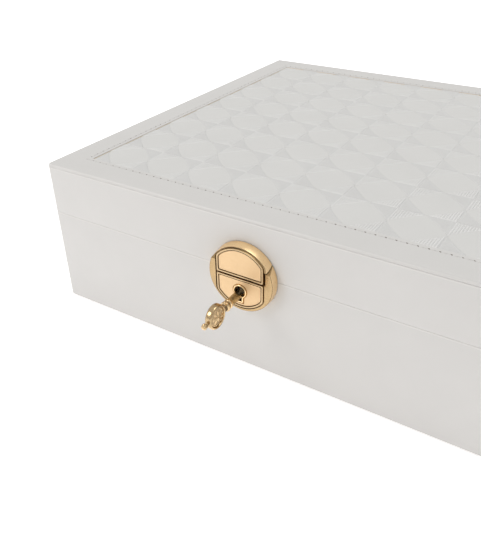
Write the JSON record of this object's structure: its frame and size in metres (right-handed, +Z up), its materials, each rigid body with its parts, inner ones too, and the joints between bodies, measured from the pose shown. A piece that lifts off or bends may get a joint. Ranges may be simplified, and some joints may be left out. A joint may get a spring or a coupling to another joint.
{
  "type": "jewellery chest with drawers",
  "caption": "Square leather-covered jewellery chest with an embossed lid, a round hasp lock and key, end drawers, ring rolls, a lift-out tray and a mirror in the lid.",
  "frame": {"origin": "the middle of the underside of the base felt, on the surface that the chest stands on", "axes": "+Z up, +X to the right and -Y towards the front, where the lock is"},
  "size_m": [0.2808, 0.3039, 0.088],
  "materials": {
    "ivory_leather": "smooth white artificial leather, satin",
    "embossed_leather": "white artificial leather embossed with a repeating square tile, satin",
    "fibre_board": "raw fibre board",
    "cream_velvet": "cream velvet",
    "grey_felt": "grey felt",
    "gold_plate": "polished pale gold plate",
    "steel": "plain steel",
    "mirror_silver": "silvered glass"
  },
  "bodies": {
    "base": {"base_wrap": "ivory_leather", "base_front_board": "fibre_board", "base_back_board": "fibre_board", "base_left_board": "fibre_board", "base_right_board": "fibre_board", "base_bottom_board": "fibre_board", "base_felt": "grey_felt", "bay_ceiling_board": "fibre_board", "bay_partition": "fibre_board", "compartment_lining": "cream_velvet", "divider_long": "cream_velvet", "divider_short": "cream_velvet", "lock_case": "gold_plate", "lock_face_plate": "gold_plate", "keyhole_ring": "gold_plate", "lock_screw_left": "steel", "lock_screw_right": "steel", "ring_roll_1": "cream_velvet", "ring_roll_2": "cream_velvet", "ring_roll_3": "cream_velvet", "ring_roll_4": "cream_velvet", "ring_roll_5": "cream_velvet", "hinge_left_base_leaf": "gold_plate", "hinge_left_pin": "steel", "hinge_left_base_screw_1": "steel", "hinge_left_base_screw_2": "steel", "hinge_right_base_leaf": "gold_plate", "hinge_right_pin": "steel", "hinge_right_base_screw_1": "steel", "hinge_right_base_screw_2": "steel"},
    "lid": {"lid_wrap": "ivory_leather", "lid_frame": "fibre_board", "lid_top_board": "fibre_board", "lid_top_leather": "ivory_leather", "lid_embossed_panel": "embossed_leather", "lid_lining": "cream_velvet", "mirror_glass": "mirror_silver", "mirror_frame": "gold_plate", "hasp_cover": "gold_plate", "hasp_hook": "steel", "hasp_screw": "steel", "hinge_left_lid_leaf": "gold_plate", "hinge_left_lid_screw_1": "steel", "hinge_left_lid_screw_2": "steel", "hinge_right_lid_leaf": "gold_plate", "hinge_right_lid_screw_1": "steel", "hinge_right_lid_screw_2": "steel"},
    "lock_cam": {"lock_cam": "steel"},
    "key": {"key": "gold_plate"},
    "drawer_left": {"drawer_left_front": "ivory_leather", "drawer_left_box": "fibre_board", "drawer_left_lining": "cream_velvet", "drawer_left_knob": "gold_plate"},
    "drawer_right": {"drawer_right_front": "ivory_leather", "drawer_right_box": "fibre_board", "drawer_right_lining": "cream_velvet", "drawer_right_knob": "gold_plate"},
    "tray": {"tray_box": "cream_velvet", "tray_pull_tab": "ivory_leather"}
  },
  "joints": [
    {"name": "lid_hinge", "type": "hinge", "parent": "base", "child": "lid", "pos_m": [0, 0.1336, 0.058], "axis": [-1, 0, 0], "range_deg": [0, 100]},
    {"name": "drawer_left_slide", "type": "slide", "parent": "base", "child": "drawer_left", "axis": [-1, 0, 0], "range_m": [0, 0.085]},
    {"name": "drawer_right_slide", "type": "slide", "parent": "base", "child": "drawer_right", "axis": [1, 0, 0], "range_m": [0, 0.085]},
    {"name": "tray_lift", "type": "slide", "parent": "base", "child": "tray", "axis": [0, 0, 1], "range_m": [0, 0.02]},
    {"name": "key_turn", "type": "hinge", "parent": "base", "child": "lock_cam", "pos_m": [0, -0.1369, 0.04905], "axis": [0, 0.999, 0.0436], "range_deg": [0, 90]},
    {"name": "key_withdraw", "type": "slide", "parent": "lock_cam", "child": "key", "axis": [0, -0.999, -0.0436], "range_m": [0, 0.03]}
  ]
}
